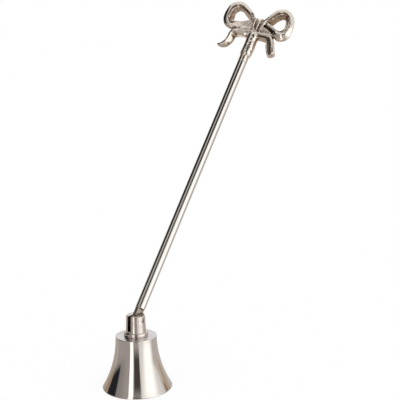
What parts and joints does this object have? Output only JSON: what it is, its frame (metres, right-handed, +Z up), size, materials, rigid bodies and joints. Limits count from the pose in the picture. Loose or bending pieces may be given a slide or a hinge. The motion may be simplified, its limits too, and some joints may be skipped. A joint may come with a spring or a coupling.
{
  "type": "candle snuffer",
  "caption": "Candle snuffer: a flared metal bell with a slotted neck, and a hinged round rod handle that ends in a cast ribbon bow.",
  "frame": {"origin": "centre of the bell's mouth, in the plane of the rim it stands on", "axes": "+Z up along the bell's axis, +X the way the handle leans, Y along the hinge pin"},
  "size_m": [0.1612, 0.0474, 0.2299],
  "materials": {
    "nickel_brass": "polished nickel plate",
    "nickel_aluminium": "polished nickel plate",
    "cast_aluminium": "cast, softly polished nickel plate with dark recesses",
    "plain_steel": "plain"
  },
  "bodies": {
    "bell": {"bell_cup": "nickel_brass", "neck_collar": "nickel_brass", "hinge_neck": "nickel_brass", "neck_washer": "plain_steel", "neck_nut": "plain_steel", "pivot_pin": "plain_steel"},
    "handle": {"hinge_tongue": "nickel_brass", "handle_tube": "nickel_aluminium", "finial_ferrule": "nickel_aluminium", "bow_casting": "cast_aluminium"}
  },
  "joints": [
    {"name": "handle_swing", "type": "hinge", "parent": "bell", "child": "handle", "pos_m": [0, 0, 0.0421], "axis": [0, 1, 0], "range_deg": [-126.05, 53.95]}
  ]
}
